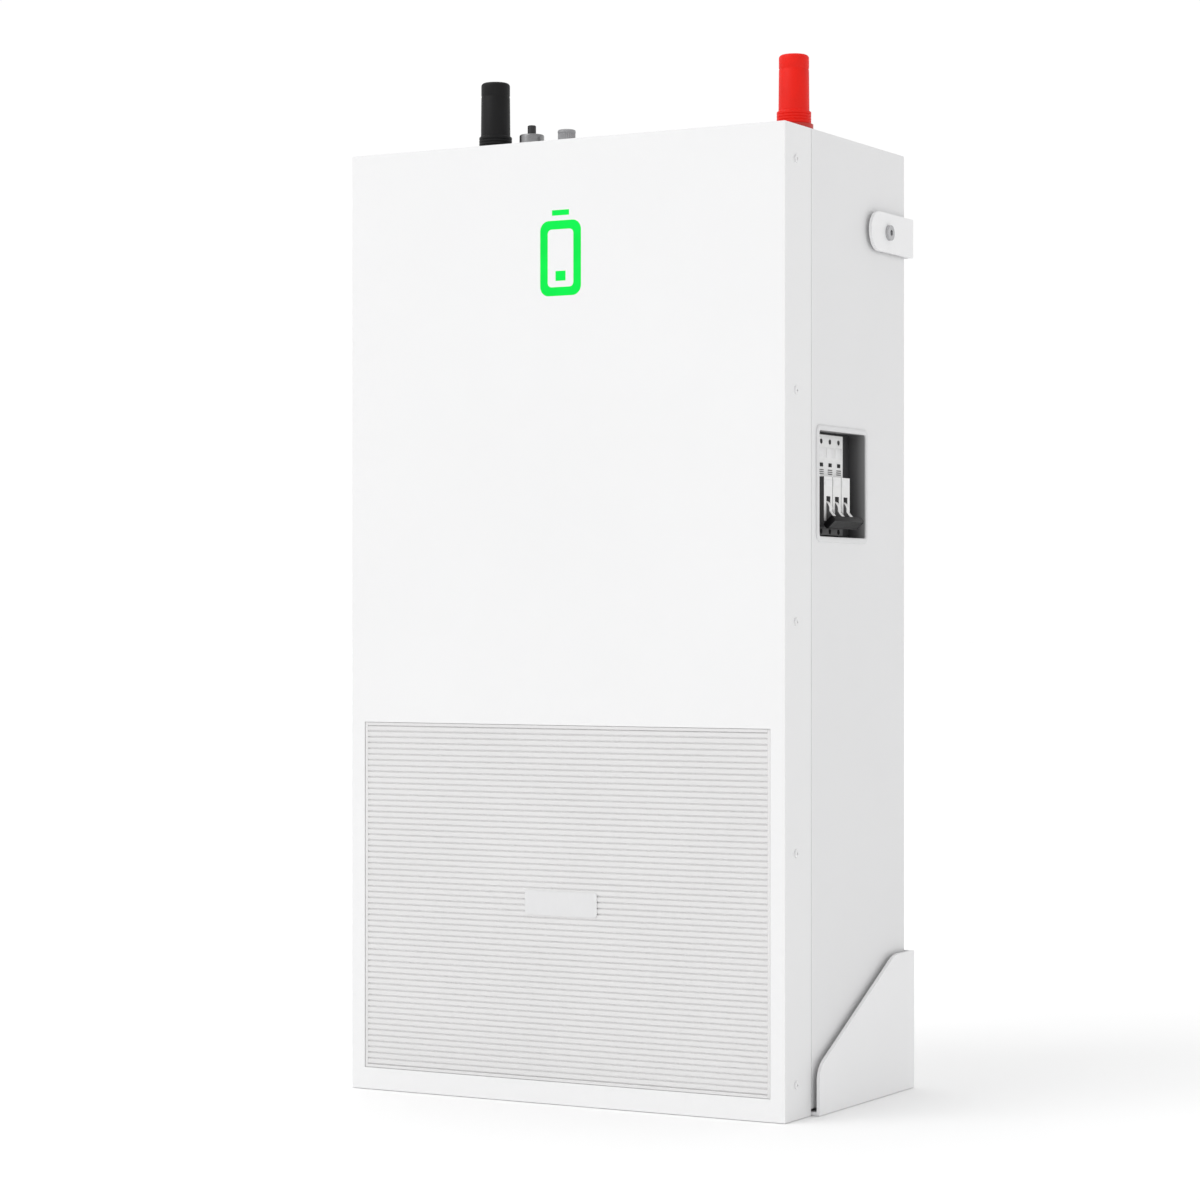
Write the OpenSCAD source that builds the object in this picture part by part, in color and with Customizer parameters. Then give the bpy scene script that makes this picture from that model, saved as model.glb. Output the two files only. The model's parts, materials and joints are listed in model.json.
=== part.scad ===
// Wall-mounted lithium battery unit on its two wall brackets.
// Millimetres, +Z up, the front faces -Y and the wall is on the +Y side.
// Origin: middle of the footprint, brackets included, at the height of the lowest face.

/* [Case] */
// Width of the case
case_w = 450; // [440:5:600]
// Height of the case with its cover
case_h = 870; // [850:5:1100]
// Depth from the front face to the back panel
case_d = 252; // [250:1:320]
// Depth of the front cover's flanges
cover_d = 52; // [40:1:70]
// Thickness of the case sheet
sheet = 2; // [1.5:0.1:2.4]
// Gap between the cover's edge and the case
seam = 0.8; // [0.4:0.1:2]

/* [Front panel] */
// Width of the ribbed panel
grille_w = 422; // [300:1:430]
// Height of the ribbed panel
grille_h = 322; // [200:1:400]
// Height of the ribbed panel's lower edge
grille_z = 20; // [12:1:60]
// Rib pitch of the ribbed panel
rib_pitch = 5.3; // [4:0.1:9]
// Width of the blank badge
badge_w = 75; // [40:1:120]
// Height of the blank badge
badge_h = 22; // [12:1:40]
// Height of the light symbol's centre
symbol_z = 763; // [600:1:800]
// Height of the light symbol
symbol_h = 76; // [50:1:100]

/* [Breaker] */
// Distance of the breaker's centre behind the front face
breaker_back = 116; // [110:1:150]
// Height of the breaker's centre
breaker_z = 558; // [400:1:600]
// Width of one breaker pole
pole_w = 18; // [18:0.5:27]
// Height of the breaker case
breaker_h = 90; // [80:1:100]

/* [Terminals] */
// Distance of the terminals behind the front face
terminal_back = 110; // [80:1:150]
// Height of a terminal boot above the case
boot_h = 77; // [60:1:90]
// Radius of a terminal boot
boot_r = 14; // [13:0.5:18]
// Radius of a terminal stud's free end
stud_r = 5; // [4:0.5:6]

/* [Wall brackets] */
// Gap between the back panel and the wall
wall_gap = 6.5; // [5:0.5:20]
// Thickness of the bracket plate
plate = 3; // [2.5:0.5:4]
// Height of a bracket ear
ear_h = 36; // [30:1:60]
// Length of a bracket ear forward of the back panel
ear_l = 86; // [60:1:120]
// Height of an ear bolt
ear_z = 793; // [650:1:820]
// Height of the lower bracket at the wall
gusset_h = 128; // [100:1:180]
// Distance between the anchor holes of each bracket
anchor_pitch = 300; // [200:5:400]
// Radius of an anchor hole
anchor_r = 4.5; // [3:0.5:6]

/* [Cells] */
// Cell width, thickness and length
cell_w = 174; // [130:1:174]
cell_t = 72; // [40:1:72]
cell_l = 207; // [160:1:207]
// Cells in one column
cell_rows = 8; // [4:1:8]

/* [Hidden] */

$fn = 48;
eps = 0.01;

// Reference planes
x_side = case_w / 2;
y_front = -(case_d + wall_gap) / 2;
y_seam = y_front + cover_d;
y_back = y_front + case_d;
y_wall = y_back + wall_gap;
pad_t = 3;
case_z = plate + pad_t;          // underside of the case behind the cover
floor_z = case_z + sheet;        // inside floor of the case
roof_z = case_h - sheet;         // inside roof of the case
lip_gap = 0.5;                   // between a cover flange and the lip inside it
lip_y = y_front + 10;            // front edge of the lips
lip_x = x_side - sheet - lip_gap;

// Front panel
frame_lap = 6;                   // how far the ribbed panel laps behind the cover
rib_h = 1.6;
rib_recess = 0.6;
badge_z = grille_z + grille_h / 2;
symbol_w = symbol_h * 0.56;
symbol_line = 8;
screw_back = 22;                 // screws behind the front face
screw_end = 30.5;                // end screws from the top and bottom
screws_per_side = 5;
screw_pitch = (case_h - 2 * screw_end) / (screws_per_side - 1);
screw_r = 2;

// Breaker pocket
poles = 3;
breaker_y = y_front + breaker_back;
breaker_w = poles * pole_w;
pocket_w = 98;
pocket_h = breaker_h + 4;
bezel_wall = 2;
bezel_rim = 5;
bezel_t = 1.5;
pocket_deep = 18;
bezel_floor = 1.5;               // floor of the pocket, open round the breaker
shoulder_x = x_side - 12;        // outer face of the breaker's shoulders
nose_x = x_side - 5;             // outer face of the breaker's nose
breaker_x0 = x_side - 79;        // back of the breaker
pivot_x = nose_x - 5;
pivot_z = breaker_z - breaker_h / 2 + 23;
toggle_hub_r = 8;
toggle_cave_r = 12.5;
toggle_w = 7;
toggle_rest = -45;               // handle angle below horizontal when off
bar_r0 = 14;
bar_r1 = 20;
bar_half = 6;
pin_r = 2;
rail_h = 35;
rail_d = 7.5;

// Terminals and small fittings on the top
terminal_y = y_front + terminal_back;
neg_x = -(x_side - 90);
pos_x = x_side - 45;
base_r = 17.5;
base_t = 14;
neck_r = 11;
neck_l = 12;                     // base neck below the inside roof
post_r = 7;
stud_free = 25;
stud_shoulder_z = case_h + base_t + 3;
stud_foot_z = roof_z - neck_l - 12;
boot_wall = 2.6;
skirt_r = boot_r + 1.6;          // grip skirt round a boot's foot
skirt_h = 12;
button_x = neg_x + 40;
button_r = 11.7;
plunger_r = 4;
comm_x = neg_x + 78;
comm_barrel_r = 6.5;
comm_flange_r = 9.5;
comm_cap_r = 8.5;
comm_pin_ring = 2.6;
run_gap = 0.05;                  // radial clearance of running fits
free_gap = 0.3;                  // clearance between parts that move apart

// Wall brackets
bracket_x = x_side + 4.5 + plate;    // outer face of the lower bracket
ear_x = x_side + 3.5 + plate;        // outer face of an ear
gusset_front = y_seam + 2;
gusset_nose = 42;                // height of the gusset's front edge
gusset_slope = 28;               // degrees above horizontal
bolt_y = y_back - 49;
bolt_r = 4;
bolt_head_r = 7;
bolt_head_t = 3;
pad_l = 150;
pad_w = 40;

// Cell stack
cell_gap = 1;
cell_y1 = y_back - sheet - 3.75;
cell_y0 = cell_y1 - cell_l;
end_t = 10;
cell_z0 = floor_z + 14;
cell_x0 = -x_side + 8;
cell_step = cell_t + cell_gap;
stack_w = 2 * cell_w + cell_gap;
cell_top = cell_z0 + cell_rows * cell_step - cell_gap;
term_off = 60 * cell_w / 174;    // terminal from the cell's centre
term_h = 3;
bar_t = 2;
nut_h = 5;
nut_y = cell_y0 - term_h - bar_t - nut_h;
stack_end_z = cell_top - cell_t / 2;
stack_neg_x = cell_x0 + cell_w / 2 + term_off;
stack_pos_x = stack_neg_x + cell_w + cell_gap - 2 * term_off;

// Electronics above the cells
bay_z = cell_top + end_t + 26;
bay_h = 190;
plate_y = y_back - sheet - 20;
board_y = plate_y - 9;
cable_r = 6;

module box(x0, x1, y0, y1, z0, z1) {
    translate([x0, y0, z0]) cube([x1 - x0, y1 - y0, z1 - z0]);
}

module rod_x(x0, x1, y, z, r) {
    translate([x0, y, z]) rotate([0, 90, 0]) cylinder(h = x1 - x0, r = r);
}

module rod_y(y0, y1, x, z, r) {
    translate([x, y1, z]) rotate([90, 0, 0]) cylinder(h = y1 - y0, r = r);
}

module rod_z(z0, z1, x, y, r) {
    translate([x, y, z0]) cylinder(h = z1 - z0, r = r);
}

// A flat outline in X and Z, given thickness along Y
module slab_y(y0, y1) {
    translate([0, y1, 0]) rotate([90, 0, 0]) linear_extrude(y1 - y0) children();
}

// A flat outline in Y and Z, given thickness along X
module slab_x(x0, x1) {
    translate([x0, 0, 0]) rotate([90, 0, 90]) linear_extrude(x1 - x0) children();
}

module rounded_rect(w, h, r) {
    union() {
        square([w - 2 * r, h], center = true);
        square([w, h - 2 * r], center = true);
        for (sx = [-1, 1], sy = [-1, 1])
            translate([sx * (w / 2 - r), sy * (h / 2 - r)]) circle(r = r);
    }
}

function screw_z(i) = screw_end + i * screw_pitch;

module each_side_screw() {
    for (side = [-1, 1], i = [0:screws_per_side - 1])
        translate([side * x_side, y_front + screw_back, screw_z(i)])
            rotate([0, side * 90, 0]) children();
}

// ---- Front cover ----

// Outline of the portrait battery symbol: a rounded body ring with a cap above it
module symbol_ring() {
    difference() {
        rounded_rect(symbol_w, symbol_h - symbol_line, 9);
        rounded_rect(symbol_w - 2 * symbol_line, symbol_h - 3 * symbol_line, 4);
    }
}

module symbol_cap() {
    translate([0, symbol_h / 2 + 3]) square([symbol_w * 0.42, 5], center = true);
}

module symbol_bar() {
    translate([0, -symbol_h / 4 + 3]) square([symbol_w - 4 * symbol_line, 9], center = true);
}

module at_symbol(y0, y1) {
    translate([0, 0, symbol_z]) slab_y(y0, y1) children();
}

module front_cover() {
    color("white") difference() {
        box(-x_side, x_side, y_front, y_seam, 0, case_h);
        box(-x_side + sheet, x_side - sheet, y_front + sheet, y_seam + 1, sheet, roof_z);
        box(-grille_w / 2, grille_w / 2, y_front - 1, y_front + sheet + 1, grille_z, grille_z + grille_h);
        at_symbol(y_front - 1, y_front + sheet + 1) {
            symbol_ring();
            symbol_cap();
            symbol_bar();
        }
        each_side_screw() translate([0, 0, -sheet - 1]) cylinder(h = sheet + 2, r = screw_r + 0.3);
    }
}

module cover_gasket() {
    gx = lip_x;
    color("dimgray") difference() {
        box(-gx, gx, y_front + sheet, lip_y, sheet + 3, roof_z - 2);
        box(-gx + 6, gx - 6, y_front, lip_y + 1, sheet + 9, roof_z - 8);
    }
}

// Horizontal ribs on a closed backing, with a frame that laps behind the cover
module grille_panel() {
    ribs = floor((grille_h - 4) / rib_pitch);
    first = grille_z + (grille_h - (ribs - 1) * rib_pitch) / 2;
    back_y = y_front + rib_recess + rib_h;
    lap_z0 = max(grille_z - frame_lap, sheet + 9.5);
    color("gainsboro") union() {
        difference() {
            box(-grille_w / 2 + free_gap, grille_w / 2 - free_gap, y_front + rib_recess,
                y_front + sheet, grille_z + free_gap, grille_z + grille_h - free_gap);
            box(-grille_w / 2 + 3, grille_w / 2 - 3, y_front, y_front + sheet + 1,
                grille_z + 3, grille_z + grille_h - 3);
        }
        for (i = [0:ribs - 1])
            box(-grille_w / 2 + 2, grille_w / 2 - 2, y_front + rib_recess, back_y + 0.2,
                first + i * rib_pitch - rib_pitch * 0.31, first + i * rib_pitch + rib_pitch * 0.31);
        box(-grille_w / 2 - 4, grille_w / 2 + 4, y_front + sheet, y_front + sheet + 2.5,
            lap_z0, grille_z + grille_h + frame_lap);
    }
}

module badge_plate() {
    color("white") translate([0, 0, badge_z])
        slab_y(y_front + 0.1, y_front + rib_recess) rounded_rect(badge_w, badge_h, 3);
}

// Diffuser: the symbol's strokes stand in the cover's slots, on one carrier plate
module light_symbol() {
    color([0.03, 0.98, 0.35]) union() {
        at_symbol(y_front + 0.2, y_front + sheet + 0.5) {
            symbol_ring();
            symbol_cap();
            symbol_bar();
        }
        at_symbol(y_front + sheet, y_front + sheet + 2)
            translate([0, 2]) square([symbol_w + 16, symbol_h + 20], center = true);
    }
}

module led_board() {
    y0 = y_front + sheet + 6;
    color("darkgreen") union() {
        at_symbol(y0, y0 + 1.6) translate([0, 2]) square([symbol_w + 16, symbol_h + 20], center = true);
        for (x = [-1, 1], z = [-1:1])
            box(x * symbol_w * 0.4 - 2.5, x * symbol_w * 0.4 + 2.5, y0 - 1.5, y0,
                symbol_z + z * 26 - 2.5, symbol_z + z * 26 + 2.5);
        for (x = [-1, 1], z = [-1, 1])
            rod_y(y_front + sheet + 2, y0 + eps, x * (symbol_w / 2 + 5),
                symbol_z + 2 + z * (symbol_h / 2 + 6), 2.2);
    }
}

module cover_screws() {
    color("silver") each_side_screw() difference() {
        union() {
            cylinder(h = 1.4, r = 3.8);
            translate([0, 0, -10]) cylinder(h = 10, r = screw_r);
        }
        translate([0, 0, 0.4]) cylinder(h = 2, r = 1.5, $fn = 6);
    }
}

module rivet_nuts() {
    nut_z = -sheet - lip_gap;
    color("gold") each_side_screw() difference() {
        union() {
            translate([0, 0, nut_z]) cylinder(h = lip_gap - 0.05, r = 4.6);
            translate([0, 0, nut_z - 11]) cylinder(h = 11, r = 3.1);
        }
        translate([0, 0, nut_z - 12]) cylinder(h = 14, r = screw_r + run_gap);
    }
}

// ---- Case panels ----

// One side: sheet behind the seam, stepped in to a lip that goes inside the cover
module side_sheet(side) {
    lip_in = lip_x - sheet;
    sx0 = side > 0 ? x_side - sheet : -x_side;
    sx1 = side > 0 ? x_side : -x_side + sheet;
    wx0 = side > 0 ? lip_in : -x_side;
    wx1 = side > 0 ? x_side : -lip_in;
    lx0 = side > 0 ? lip_in : -lip_x;
    lx1 = side > 0 ? lip_x : -lip_in;
    union() {
        box(sx0, sx1, y_seam + seam, y_back, case_z, case_h);
        box(wx0, wx1, y_seam + seam, y_seam + seam + sheet, case_z, case_h);
        box(lx0, lx1, lip_y, y_seam + seam + sheet, case_z, roof_z - 2);
    }
}

module rivet_nut_holes() {
    each_side_screw() translate([0, 0, -sheet - lip_gap - sheet - 1]) cylinder(h = sheet + 2, r = 3.2);
}

module ear_nut_hole() {
    rod_x(-x_side - 1, x_side + 1, bolt_y, ear_z, bolt_r + 0.3);
}

module side_panel_left() {
    color("whitesmoke") difference() {
        side_sheet(-1);
        rivet_nut_holes();
        ear_nut_hole();
    }
}

module side_panel_right() {
    color("whitesmoke") difference() {
        side_sheet(1);
        rivet_nut_holes();
        ear_nut_hole();
        box(x_side - 10, x_side + 1, breaker_y - pocket_w / 2 - bezel_wall - 0.2,
            breaker_y + pocket_w / 2 + bezel_wall + 0.2, breaker_z - pocket_h / 2 - bezel_wall - 0.2,
            breaker_z + pocket_h / 2 + bezel_wall + 0.2);
    }
}

module top_panel() {
    inner = x_side - sheet;
    lip_in = lip_x - sheet;
    color("whitesmoke") difference() {
        union() {
            box(-inner, inner, y_seam + seam + sheet, y_back - sheet, roof_z, case_h);
            box(-lip_in, lip_in, y_seam + seam, y_seam + seam + sheet, roof_z - 4, case_h);
            box(-lip_in, lip_in, lip_y, y_seam + seam + sheet, roof_z - 4, roof_z - 2);
        }
        for (x = [neg_x, pos_x]) rod_z(roof_z - 1, case_h + 1, x, terminal_y, neck_r + 0.3);
        rod_z(roof_z - 1, case_h + 1, comm_x, terminal_y, comm_barrel_r - 1 + 0.3);
        rod_z(roof_z - 1, case_h + 1, button_x, terminal_y, button_r - 4 + 0.3);
    }
}

module bottom_panel() {
    inner = x_side - sheet;
    lip_in = lip_x - sheet;
    color("whitesmoke") union() {
        box(-inner, inner, y_seam + seam + sheet, y_back - sheet, case_z, floor_z);
        box(-lip_in, lip_in, lip_y, y_seam + seam + sheet, case_z, floor_z);
    }
}

module back_panel() {
    inner = x_side - sheet;
    color("whitesmoke") difference() {
        box(-inner, inner, y_back - sheet, y_back, case_z, case_h);
        for (x = [-1, 1], z = [0, 1])
            rod_y(y_back - sheet - 1, y_back + 1, x * 170, bay_z + 15 + z * (bay_h - 30), 2.1);
    }
}

// ---- Wall brackets ----

module anchor_holes(z) {
    for (x = [-1, 1])
        rod_y(y_wall - plate - 1, y_wall + 1, x * anchor_pitch / 2, z, anchor_r);
}

module ear_outline() {
    r = ear_h / 2;
    union() {
        translate([y_back - ear_l + r, ear_z - r]) square([ear_l - r + wall_gap, ear_h]);
        translate([y_back - ear_l + r, ear_z]) circle(r = r);
    }
}

module upper_wall_rail() {
    color("whitesmoke") difference() {
        union() {
            box(-ear_x, ear_x, y_wall - plate, y_wall, ear_z - ear_h / 2, ear_z + ear_h / 2);
            for (side = [0, 1]) mirror([side, 0, 0]) slab_x(ear_x - plate, ear_x) ear_outline();
        }
        anchor_holes(ear_z);
        rod_x(-ear_x - 1, ear_x + 1, bolt_y, ear_z, bolt_r + 0.3);
    }
}

// Side of the lower bracket: upright front edge, sloping edge, level top, both corners eased
module gusset_outline() {
    run = (gusset_h - gusset_nose) / tan(gusset_slope);
    knee = gusset_front + run;
    nose_ease = 20;
    knee_ease = 40;
    nose_cut = nose_ease * tan((90 - gusset_slope) / 2);
    knee_cut = knee_ease * tan(gusset_slope / 2);
    difference() {
        polygon([[gusset_front, 0], [y_wall, 0], [y_wall, gusset_h], [knee, gusset_h],
            [gusset_front, gusset_nose]]);
        difference() {
            polygon([[gusset_front - 1, gusset_nose - nose_cut], [gusset_front - 1, gusset_nose + 2],
                [gusset_front + nose_cut * cos(gusset_slope), gusset_nose + nose_cut * sin(gusset_slope) + 2],
                [gusset_front + nose_cut * cos(gusset_slope), gusset_nose + nose_cut * sin(gusset_slope)],
                [gusset_front + nose_ease, gusset_nose - nose_cut]]);
            translate([gusset_front + nose_ease, gusset_nose - nose_cut]) circle(r = nose_ease, $fn = 96);
        }
        difference() {
            polygon([[knee - knee_cut * cos(gusset_slope), gusset_h - knee_cut * sin(gusset_slope)],
                [knee - knee_cut * cos(gusset_slope), gusset_h + 1], [knee + knee_cut, gusset_h + 1],
                [knee + knee_cut, gusset_h - knee_ease]]);
            translate([knee + knee_cut, gusset_h - knee_ease]) circle(r = knee_ease, $fn = 96);
        }
    }
}

module lower_wall_bracket() {
    color("whitesmoke") difference() {
        union() {
            box(-bracket_x, bracket_x, gusset_front, y_wall, 0, plate);
            box(-bracket_x, bracket_x, y_wall - plate, y_wall, 0, gusset_h);
            for (side = [0, 1]) mirror([side, 0, 0]) slab_x(bracket_x - plate, bracket_x) gusset_outline();
        }
        anchor_holes(gusset_h * 0.62);
    }
}

module ear_bolts() {
    color("dimgray") for (side = [0, 1]) mirror([side, 0, 0]) difference() {
        union() {
            rod_x(ear_x, ear_x + bolt_head_t, bolt_y, ear_z, bolt_head_r);
            rod_x(x_side - 12, ear_x, bolt_y, ear_z, bolt_r);
        }
        translate([ear_x + 0.8, bolt_y, ear_z]) rotate([0, 90, 0]) cylinder(h = 4, r = 2.9, $fn = 6);
    }
}

module ear_spacers() {
    color("silver") for (side = [0, 1]) mirror([side, 0, 0]) difference() {
        rod_x(x_side, ear_x - plate, bolt_y, ear_z, 9);
        rod_x(x_side - 1, ear_x, bolt_y, ear_z, bolt_r + 0.3);
    }
}

module shelf_pads() {
    color("black") for (x = [-1, 1])
        box(x * (x_side - 60) - pad_w / 2, x * (x_side - 60) + pad_w / 2,
            y_back - pad_l, y_back - 10, plate, case_z);
}

// ---- Breaker in its side pocket ----

module breaker_bezel() {
    half_w = pocket_w / 2;
    half_h = pocket_h / 2;
    color("lightgray") difference() {
        union() {
            box(x_side, x_side + bezel_t, breaker_y - half_w - bezel_rim, breaker_y + half_w + bezel_rim,
                breaker_z - half_h - bezel_rim, breaker_z + half_h + bezel_rim);
            box(x_side - pocket_deep, x_side + eps, breaker_y - half_w - bezel_wall,
                breaker_y + half_w + bezel_wall, breaker_z - half_h - bezel_wall,
                breaker_z + half_h + bezel_wall);
        }
        box(x_side - pocket_deep + bezel_floor, x_side + bezel_t + 1, breaker_y - half_w,
            breaker_y + half_w, breaker_z - half_h, breaker_z + half_h);
        box(x_side - pocket_deep - 1, x_side, breaker_y - breaker_w / 2 - free_gap * 2,
            breaker_y + breaker_w / 2 + free_gap * 2, breaker_z - breaker_h / 2 - free_gap * 2,
            breaker_z + breaker_h / 2 + free_gap * 2);
    }
}

function pole_y(i) = breaker_y + (i - (poles - 1) / 2) * pole_w;

module breaker_case() {
    low = breaker_z - breaker_h / 2;
    high = breaker_z + breaker_h / 2;
    color("gainsboro") difference() {
        union() {
            box(breaker_x0, shoulder_x, breaker_y - breaker_w / 2, breaker_y + breaker_w / 2, low, high);
            box(shoulder_x - eps, nose_x, breaker_y - breaker_w / 2, breaker_y + breaker_w / 2,
                low + 7, high - 38);
        }
        for (i = [0:poles - 1]) {
            rod_y(pole_y(i) - toggle_w / 2 - 0.6, pole_y(i) + toggle_w / 2 + 0.6,
                pivot_x, pivot_z, toggle_cave_r);
            for (z = [low + 3.2, high - 6])
                rod_x(shoulder_x - 12, shoulder_x + 1, pole_y(i), z, 2.6);
        }
        rod_y(breaker_y - breaker_w / 2 + 4, breaker_y + breaker_w / 2 - 4,
            pivot_x, pivot_z, pin_r + run_gap);
        for (i = [1:poles - 1])
            box(nose_x - 1.5, nose_x + 1, breaker_y - breaker_w / 2 + i * pole_w - 0.4,
                breaker_y - breaker_w / 2 + i * pole_w + 0.4, low, high);
    }
}

// Three toggles on one pin, joined by a bar; drawn in the off position
module breaker_handle() {
    bar_w = breaker_w + 7;
    color([0.08, 0.08, 0.09]) translate([pivot_x, 0, pivot_z]) rotate([0, -toggle_rest, 0]) difference() {
        union() {
            for (i = [0:poles - 1]) {
                rod_y(pole_y(i) - toggle_w / 2, pole_y(i) + toggle_w / 2, 0, 0, toggle_hub_r);
                box(0, bar_r0 + 1, pole_y(i) - toggle_w / 2, pole_y(i) + toggle_w / 2, -4, 4);
            }
            box(bar_r0, bar_r1, breaker_y - bar_w / 2, breaker_y + bar_w / 2, -bar_half, bar_half);
        }
        rod_y(breaker_y - breaker_w / 2, breaker_y + breaker_w / 2, 0, 0, pin_r + 0.02);
    }
}

module breaker_pin() {
    color("silver") rod_y(breaker_y - breaker_w / 2 + 5, breaker_y + breaker_w / 2 - 5,
        pivot_x, pivot_z, pin_r);
}

module breaker_clamp_screws() {
    low = breaker_z - breaker_h / 2;
    high = breaker_z + breaker_h / 2;
    color("silver") for (i = [0:poles - 1], z = [low + 3.2, high - 6]) difference() {
        rod_x(shoulder_x - 11, shoulder_x - 5, pole_y(i), z, 2.4);
        box(shoulder_x - 6, shoulder_x - 4, pole_y(i) - 3, pole_y(i) + 3, z - 0.4, z + 0.4);
    }
}

// Top-hat rail along Y behind the breaker
module din_rail() {
    x1 = breaker_x0;
    color("silver") union() {
        for (s = [-1, 1])
            box(x1 - 1, x1, breaker_y - breaker_w / 2 - 4, breaker_y + breaker_w / 2 + 4,
                breaker_z + (s < 0 ? -rail_h / 2 : rail_h / 2 - 5),
                breaker_z + (s < 0 ? -rail_h / 2 + 5 : rail_h / 2));
        for (s = [-1, 1])
            box(x1 - rail_d, x1, breaker_y - breaker_w / 2 - 4, breaker_y + breaker_w / 2 + 4,
                breaker_z + s * (rail_h / 2 - 5) - 0.5, breaker_z + s * (rail_h / 2 - 5) + 0.5);
        box(x1 - rail_d, x1 - rail_d + 1, breaker_y - breaker_w / 2 - 4, breaker_y + breaker_w / 2 + 4,
            breaker_z - rail_h / 2 + 5, breaker_z + rail_h / 2 - 5);
    }
}

module breaker_bracket() {
    x0 = breaker_x0 - rail_d - 2;
    half = pocket_h / 2 + 13;
    x1 = x_side - sheet;
    color("gray") difference() {
        breaker_bracket_sheet(x0, x1, half);
        rod_z(breaker_z + half - 4, breaker_z + half + 1, pos_x, terminal_y, cable_r + 2);
    }
}

module breaker_bracket_sheet(x0, x1, half) {
    union() {
        box(x0, x0 + 2, breaker_y - 45, breaker_y + 45, breaker_z - half, breaker_z + half);
        for (s = [-1, 1]) {
            z = breaker_z + s * (half - 1);
            box(x0, x1, breaker_y - 45, breaker_y + 45, z - 1, z + 1);
            box(x1 - 2, x1, breaker_y - 45, breaker_y + 45, min(z, z + s * 18) - 1, max(z, z + s * 18) + 1);
        }
    }
}

// ---- Terminals ----

module terminal_base(x) {
    difference() {
        union() {
            rod_z(case_h, case_h + base_t, x, terminal_y, base_r);
            rod_z(roof_z - neck_l, case_h + eps, x, terminal_y, neck_r);
        }
        rod_z(roof_z - neck_l - 1, case_h + base_t + 1, x, terminal_y, post_r + run_gap);
    }
}

module terminal_stud(x) {
    union() {
        rod_z(stud_foot_z, stud_shoulder_z, x, terminal_y, post_r);
        rod_z(stud_shoulder_z - eps, stud_shoulder_z + stud_free, x, terminal_y, stud_r);
    }
}

// Insulating boot: a thick-walled cap with a chamfered crown and a grip skirt
module terminal_boot(x) {
    z0 = case_h + base_t + free_gap;
    z1 = case_h + boot_h;
    r_in = boot_r - boot_wall;
    translate([x, terminal_y, 0]) rotate_extrude($fn = 64) difference() {
        union() {
            polygon([[0, z0], [boot_r, z0], [boot_r, z1 - 4], [boot_r - 2.5, z1], [0, z1]]);
            polygon([[0, z0], [skirt_r, z0], [skirt_r, z0 + skirt_h - 1.6], [boot_r, z0 + skirt_h],
                [0, z0 + skirt_h]]);
        }
        translate([-1, z0 - 1]) square([1 + r_in, z1 - 4 - z0 + 1]);
        translate([-20, z0 - 1]) square([20, z1 - z0 + 2]);
    }
}

module negative_base() {
    color([0.13, 0.13, 0.13]) terminal_base(neg_x);
}

module positive_base() {
    color([0.72, 0.11, 0.06]) terminal_base(pos_x);
}

module negative_stud() {
    color("peru") terminal_stud(neg_x);
}

module positive_stud() {
    color("peru") terminal_stud(pos_x);
}

module negative_boot() {
    color([0.13, 0.13, 0.13]) terminal_boot(neg_x);
}

module positive_boot() {
    color([0.93, 0.18, 0.12]) terminal_boot(pos_x);
}

module stud_nuts() {
    color("silver") for (x = [neg_x, pos_x]) difference() {
        translate([x, terminal_y, roof_z - neck_l - 8]) cylinder(h = 8, r = 11.5, $fn = 6);
        rod_z(roof_z - neck_l - 9, roof_z - neck_l + 1, x, terminal_y, post_r + run_gap);
    }
}

// Hexagon nuts that hold the bases under the top panel
module base_nuts() {
    color("dimgray") for (x = [neg_x, pos_x]) difference() {
        translate([x, terminal_y, roof_z - 7]) cylinder(h = 7, r = 17, $fn = 6);
        rod_z(roof_z - 8, roof_z + 1, x, terminal_y, neck_r + run_gap);
    }
}

// ---- Signal socket and push button on the top ----

module comm_socket() {
    color([0.2, 0.2, 0.21]) difference() {
        union() {
            rod_z(case_h, case_h + 3, comm_x, terminal_y, comm_flange_r);
            rod_z(roof_z - 14, case_h + 1, comm_x, terminal_y, comm_barrel_r - 1);
            rod_z(case_h, case_h + 18, comm_x, terminal_y, comm_barrel_r);
        }
        rod_z(case_h + 15, case_h + 20, comm_x, terminal_y, comm_barrel_r - 1.5);
        for (a = [0:60:300])
            rod_z(roof_z - 15, case_h + 20, comm_x + comm_pin_ring * cos(a),
                terminal_y + comm_pin_ring * sin(a), 0.6);
    }
}

module comm_pins() {
    color("gold") for (a = [0:60:300])
        rod_z(roof_z - 18, case_h + 17.5, comm_x + comm_pin_ring * cos(a),
            terminal_y + comm_pin_ring * sin(a), 0.55);
}

module comm_cap() {
    z0 = case_h + 3 + free_gap;
    z1 = case_h + 27;
    color([0.45, 0.45, 0.46]) difference() {
        union() {
            rod_z(z0, z1, comm_x, terminal_y, comm_cap_r - 0.6);
            rod_z(z0, z0 + 3, comm_x, terminal_y, comm_cap_r);
            rod_z(z1 - 8, z1 - 2, comm_x, terminal_y, comm_cap_r);
        }
        rod_z(z0 - 1, case_h + 22, comm_x, terminal_y, comm_barrel_r + free_gap);
    }
}

module button_housing() {
    color("silver") difference() {
        union() {
            rod_z(case_h, case_h + 3, button_x, terminal_y, button_r + 1.5);
            rod_z(roof_z - 12, case_h + 1, button_x, terminal_y, button_r - 4);
            rod_z(case_h, case_h + 25, button_x, terminal_y, button_r);
        }
        rod_z(case_h - 4, case_h + 26, button_x, terminal_y, plunger_r + run_gap);
    }
}

module power_button() {
    color([0.2, 0.2, 0.21]) rod_z(case_h + 10, case_h + 34, button_x, terminal_y, plunger_r);
}

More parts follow.
